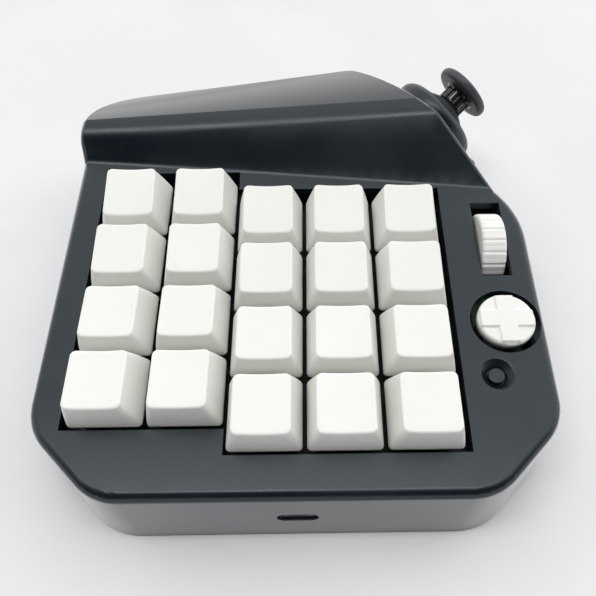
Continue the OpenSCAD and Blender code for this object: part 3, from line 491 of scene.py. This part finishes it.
def button_points():
    """A turned plunger with a flange and a rounded top that lies a little below the deck."""
    r, flange_r, edge_r, sunk = 2.1, 3.2, 0.3, 0.9
    foot, flange_low, flange_high = 17.7, 22.0, 23.2
    top = DECK_Z - sunk
    stem = [(0, foot), (r, foot), (r, flange_low)]
    flange = [(flange_r, flange_low), (flange_r, flange_high), (r, flange_high)]
    face = [(1.2, top), (0.6, top), (0, top)]
    return around(stem + flange + arc((r - edge_r, top - edge_r), edge_r, 0, 90, 6) + face, 72) + BUTTON_P


put_surface("round_plunger", button_points(), button_black, "round_button",
            ["round_button"], 35)


def side_button_points():
    """A bar with round ends carried along the wall's normal: the path shrinks by a quarter circle at
    the outer end."""
    back, out, w, h, r = -3.87, 2.4, 6.0, 3.6, 0.6
    path = rounded_frame(w / 2, -h / 2, h / 2, h / 2 - 0.001, 4, 16)
    rings = [at_height(path * f, d) for f, d in ((0.0, back), (1.0, back), (1.0, out - r))]
    for t in np.radians(np.linspace(15, 90, 6)):
        scale = 1 - r * (1 - np.cos(t)) / np.array([w / 2, h / 2])
        rings.append(at_height(path * scale, out - r + r * np.sin(t)))
    rings.append(at_height(path * 0, out))
    return about_z(np.stack(rings, 1)[..., [0, 2, 1]], DIAGONAL - np.pi) + SIDE_P


put_surface("side_plunger", side_button_points(), button_black, "side_button",
            ["side_button"], 35)


# Thumbstick

def stick_points():
    """A turned outline of domed skirt, core and disc, with a shallow dish in the disc's top. The skirt is
    a part of two spheres about the pivot; the dish is a list of radii and depths below the disc's rim."""
    outer_r, inner_r, core_r, core_z = 13.0, 12.0, 3.8, 12.3
    disc_z, disc_h, disc_r, edge_r = 17.0, 2.8, 9.1, 1.2
    dish = ((7.1, 0.12), (5.8, 0.5), (4.0, 0.78), (2.0, 0.9), (0, 0.94))
    skirt = arc((0, 0), inner_r, 90, 25, 18) + arc((0, 0), outer_r, 25, 70, 18)
    under = [(core_r, core_z), (core_r, disc_z), (7.2, disc_z + 0.1)]
    edge = (arc((disc_r - edge_r, disc_z + edge_r), edge_r, -70, 0, 7)
            + arc((disc_r - edge_r, disc_z + disc_h - edge_r), edge_r, 0, 90, 7))
    hollow = [(r, disc_z + disc_h - depth) for r, depth in dish]
    return stick_place(around(skirt + under + edge + hollow, 192))


put_surface("stick_top", stick_points(), stick_rubber, "stick", ["stick_cap"], 50)


def neck_points():
    """A turned post that flares at both ends; around it the radius drops in twelve round-bottomed flutes."""
    r, flutes, flute_half, flute_depth, steps = 4.5, 12, 0.6, 0.5, 480
    low, high = 13.0, 16.3
    foot = [(0, 11.8), (3.6, 11.8), (4.9, 12.15), (4.62, 12.6), (r, low)]
    head = [(r, high), (4.7, 16.75), (5.3, 17.05), (3.6, 17.4), (0, 17.4)]
    radius, z = np.array(foot + [(r, low + 0.3), (r, high - 0.3)] + head).T
    a = np.linspace(0, TAU, steps, endpoint=False)[:, None]
    off = ((a / TAU * flutes + 0.5) % 1 - 0.5) * TAU / flutes * r
    depth = flute_depth * np.sqrt(np.clip(1 - (off / flute_half) ** 2, 0, 1))
    radius = radius - depth * ((z >= low) & (z <= high))
    return stick_place(np.stack([radius * np.cos(a), radius * np.sin(a), z + 0 * radius], -1))


put_surface("stick_neck", neck_points(), neck_black, "stick", None, 30)


def collar_points():
    """A turned ring: outer wall, round shoulder, falling lid and the bowl that clears the skirt."""
    r, up, fall, bowl, turn = 14.5, 9.5, 0.6, 13.3, 3.2
    foot, inner = 4.05, 13.4
    mouth = np.sqrt(bowl ** 2 - up ** 2)
    wall = [(inner, foot), (r, foot)] + arc((r - turn, up - fall - turn), turn, 0, 75, 12)
    lid = [(mouth + 0.3, up), (mouth, up - 0.15)]
    hollow = arc((0, 0), bowl, 45, 19, 12) + [(inner, foot + 0.25), (inner, foot)]
    return stick_place(around(wall + lid + hollow, 192))


put_surface("stick_ring", collar_points(), ring_black, "case", ["stick_collar"], 35)


# Case shell: the solid's own mesh, welded, its openings' edges softened and its normals evened

def palm_surface(x, y, form):
    """Heights of the deck, foot rounding, slope, crest, strip and arched back over the points x, y, and
    the places along Y where one gives way to the next."""
    t = (x / LOFT_X + 1) / 2

    def across(pair):
        """A value between the left and the right one, by the share of the width."""
        return pair[0] + (pair[1] - pair[0]) * t

    def bow(radius, off):
        """Height of a circle over its middle, at this distance along Y."""
        return np.sqrt(np.maximum(radius ** 2 - off ** 2, 0.01))

    foot, crest, rise = FRONT + across(FOOT_D), FRONT + across(CREST_D), across(CREST_H)
    lean = np.arctan2(rise, crest - foot)
    start = foot - FOOT_R * np.tan(lean / 2) + FOOT_BITE
    bend, fall, r = (across(pair) for pair in form)
    top = crest + bend * np.tan(lean / 2)
    back = crest + STRIP_W
    deck = DECK_Z + 0 * x
    heights = [deck, deck + FOOT_R - bow(FOOT_R, y - start), deck + (y - foot) * np.tan(lean),
               deck + rise - bend + bow(bend, y - top), deck + rise,
               deck + rise - r * np.cos(fall) + bow(r, y - back + r * np.sin(fall))]
    ends = [start, start + FOOT_R * np.sin(lean), top - bend * np.sin(lean), top, back]
    return np.stack(heights), np.stack(ends)


def palm_normals(x, y, zone, form):
    """Normals of the palm rest's surface in given zones, from differences of its height."""
    step, pick = 0.02, (zone, np.arange(len(zone)))

    def slope(dx, dy):
        """Rise of the surface over a short step to either side of the points."""
        ahead, behind = palm_surface(x + dx, y + dy, form)[0], palm_surface(x - dx, y - dy, form)[0]
        return (ahead[pick] - behind[pick]) / (2 * step)

    n = np.stack([-slope(step, 0), -slope(0, step), np.ones(len(zone))], -1)
    return n / np.linalg.norm(n, axis=1, keepdims=True)


def inside_rim(x, y):
    """True where a point lies well inside the rounded rim of the palm rest: clear of the left wall, of the
    diagonal wall, of the back wall and of the corner between left and back."""
    clear, corner = 3.0, 14.0
    (hx, hy), (sx, sy) = PALM_CORNERS
    diagonal = (x - sx) * np.sin(DIAGONAL) - (y - sy) * np.cos(DIAGONAL)
    back = (y - hy) * np.cos(BACK) - (x - hx) * np.sin(BACK)
    return (x - hx > clear) & (diagonal < -clear) & (back < -clear) & (np.hypot(x - hx, y - hy) > corner)


def even_normals(mesh, limit):
    """Normals of the face corners: the sum, weighted by area, of the normals of those faces round the
    vertex that lie within the limit of the corner's own face. Also gives each face's normal, and each
    corner's vertex and face."""
    faces, loops = len(mesh.polygons), len(mesh.loops)
    normal, area, count = np.empty(faces * 3), np.empty(faces), np.empty(faces, int)
    mesh.polygons.foreach_get("normal", normal)
    mesh.polygons.foreach_get("area", area)
    mesh.polygons.foreach_get("loop_total", count)
    normal = normal.reshape(-1, 3)
    vertex = np.empty(loops, int)
    mesh.loops.foreach_get("vertex_index", vertex)
    face = np.repeat(np.arange(faces), count)
    order = np.argsort(vertex, kind="stable")
    shared = np.bincount(vertex)[vertex]
    first = np.searchsorted(vertex[order], vertex)
    one = np.repeat(np.arange(loops), shared)
    rank = np.arange(len(one)) - np.repeat(np.cumsum(shared) - shared, shared)
    other = face[order[np.repeat(first, shared) + rank]]
    near = (normal[face[one]] * normal[other]).sum(1) > np.cos(limit)
    total = np.zeros((loops, 3))
    np.add.at(total, one, normal[other] * (area[other] * near)[:, None])
    return total / np.linalg.norm(total, axis=1, keepdims=True), normal, vertex, face


def welded_case(crease):
    """A copy of the case's triangles as one surface. Narrow ledges on the palm rest are welded, flat
    regions are joined, and the edges of the deck's openings are softened."""
    softness, ledge, flat, weld = 0.25 * MM, 0.06 * MM, np.radians(0.3), 2 * WELD
    mesh = nodes["top_case"].data.copy()
    mesh.name = "case_shell"
    bm = bmesh.new()
    bm.from_mesh(mesh)
    bmesh.ops.remove_doubles(bm, verts=bm.verts, dist=weld)
    x, y, z = np.array([v.co for v in bm.verts]).T / MM
    on_palm = inside_rim(x, y) & (y > FRONT + min(FOOT_D)) & (z > DECK_Z)
    ledges = [v for v, use in zip(bm.verts, on_palm) if use]
    bmesh.ops.remove_doubles(bm, verts=ledges, dist=ledge)
    bmesh.ops.dissolve_degenerate(bm, edges=bm.edges, dist=weld)
    bmesh.ops.dissolve_limit(bm, angle_limit=flat, verts=bm.verts, edges=bm.edges)
    rims = [e for e in bm.edges if e.is_manifold and e.is_convex and e.calc_face_angle(0) > crease
            and all(abs(v.co.z - DECK_Z * MM) < WELD for v in e.verts)]
    bmesh.ops.bevel(bm, geom=rims, offset=softness, segments=2, profile=0.5, affect="EDGES",
                    clamp_overlap=False)
    bmesh.ops.triangulate(bm, faces=bm.faces)
    bm.to_mesh(mesh)
    bm.free()
    mesh.shade_smooth()
    return mesh


def case_shell():
    """The welded case with even normals. Faces that lie on the palm rest's own surface, or well inside
    its rim, take the normals of its softer form; the border of strip and back stays sharp."""
    crease, reach, skin, hair = np.radians(34), np.cos(np.radians(9)), 0.4, 1e-4
    mesh = welded_case(crease)
    corner, normal, vertex, face = even_normals(mesh, crease)
    place = np.empty(len(mesh.vertices) * 3)
    mesh.vertices.foreach_get("co", place)
    place = place.reshape(-1, 3) / MM
    middle = np.empty(len(mesh.polygons) * 3)
    mesh.polygons.foreach_get("center", middle)
    x, y, z = middle.reshape(-1, 3).T / MM
    heights, ends = palm_surface(x, y, SOLID)
    zone = (y > ends).sum(0)
    on = np.abs(heights[zone, np.arange(len(zone))] - z) < skin
    on &= ((palm_normals(x, y, zone, SOLID) * normal).sum(1) > reach) | (inside_rim(x, y) & (zone > 0))
    of_palm = on[face]
    x, y = place[vertex[of_palm]].T[:2]
    of_back = zone[face[of_palm]] == len(ends)
    zone = (y > palm_surface(x, y, SHADED)[1] - hair).sum(0)
    zone = np.where(of_back, len(ends), np.minimum(zone, len(ends) - 1))
    corner[of_palm] = palm_normals(x, y, zone, SHADED)
    mesh.normals_split_custom_set(corner.tolist())
    mesh.materials.clear()
    mesh.materials.append(case_black)
    piece = add_object("case_shell", mesh)
    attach(piece, "case")
    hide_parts("top_case")


case_shell()

# Finishes of the solids themselves
finishes = {
    "bottom_cover": cover_black, "switch_plate": plate_black, "circuit_board": board_green,
    "switch_housings": switch_dark, "switch_springs": bright_steel, "usb_socket": plated_shell,
    "cover_screws": bright_steel, "rubber_feet": foot_black, "stick_base": switch_dark,
    "stick_gimbal": gimbal_grey, "stick_shaft": bright_steel, "dpad_gimbal": gimbal_grey,
    "control_switches": switch_dark,
}
for name, node in nodes.items():
    finish = stem_red if name.startswith("stem_") else finishes.get(name, case_black)
    node.data.materials.clear()
    node.data.materials.append(finish)


# Table, light and camera

def table_top():
    """A pale painted table: one flat square with broad, faint mottling."""
    mat, tree, bsdf, place = shader("table_white")
    broad = span(tree, noise(tree, place, 14.0, 5.0), 0.35, 0.65, 0.0, 1.0)
    two_colours(tree, bsdf, broad, (0.80, 0.80, 0.815), (0.84, 0.84, 0.85))
    bsdf.inputs["Roughness"].default_value = 0.45
    half = 6.0
    corners = [(-half, -half, 0), (half, -half, 0), (half, half, 0), (-half, half, 0)]
    mesh = bpy.data.meshes.new("table")
    mesh.from_pydata(corners, [], [(0, 1, 2, 3)])
    mesh.materials.append(mat)
    table = add_object("table", mesh)


def studio_sky():
    """Bright beyond and over the object, dark on the viewer's side, with a lit band along the horizon and
    a glow at the far side and at the right: smooth steps of the direction's X, Y and Z."""
    world = bpy.data.worlds.new("studio")
    bpy.context.scene.world = world
    world.use_nodes = True
    sky = world.node_tree
    split = sky.nodes.new("ShaderNodeSeparateXYZ")
    sky.links.new(sky.nodes.new("ShaderNodeTexCoord").outputs["Generated"], split.inputs["Vector"])
    x, y, z = (split.outputs[axis] for axis in "XYZ")
    room = mixed(sky, span(sky, y, -0.26, 0.03, 0.0, 1.0), VIEWER_SIDE, FAR_SIDE)
    room = mixed(sky, span(sky, z, 0.10, 0.34, 1.0, 0.0), room, HORIZON)
    far = calc(sky, "MULTIPLY", span(sky, z, 0.05, 0.36, 1.0, 0.0), span(sky, y, 0.1, 0.6, 0.0, 1.0))
    room = mixed(sky, far, room, FAR_GLOW)
    right = calc(sky, "MULTIPLY", span(sky, x, 0.1, 0.6, 0.0, 1.0), span(sky, y, -0.15, 0.2, 0.0, 1.0))
    room = mixed(sky, right, room, RIGHT_GLOW)
    sky.links.new(room, sky.nodes["Background"].inputs["Color"])
    sky.nodes["Background"].inputs["Strength"].default_value = SKY_STRENGTH


def overhead_lamp():
    """A long soft lamp that faces the object's middle from above, with its long side along X."""
    data = bpy.data.lights.new("overhead", "AREA")
    data.shape = "RECTANGLE"
    data.size, data.size_y = LAMP_SIZE
    data.energy = LAMP_POWER
    away = Vector(LAMP_P).normalized()
    side = Vector((0, 1, 0)).cross(away).normalized()
    turn = Matrix((side, away.cross(side), away)).transposed()
    add_object("overhead", data).matrix_world = Matrix.LocRotScale(Vector(LAMP_P), turn, None)


def front_camera():
    """The camera that sees the keypad from the front and above, with its lens shifted off the middle."""
    data = bpy.data.cameras.new("camera")
    data.sensor_width = CAMERA_SENSOR
    data.lens = CAMERA_LENS
    data.shift_x, data.shift_y = CAMERA_SHIFT
    data.clip_start = 0.01
    holder = add_object("camera", data)
    holder.matrix_world = Matrix.LocRotScale(Vector(CAMERA_P) * MM, Euler(CAMERA_TURN), None)
    bpy.context.scene.camera = holder


table_top()
studio_sky()
overhead_lamp()
front_camera()
bpy.context.scene.view_settings.view_transform = "Standard"
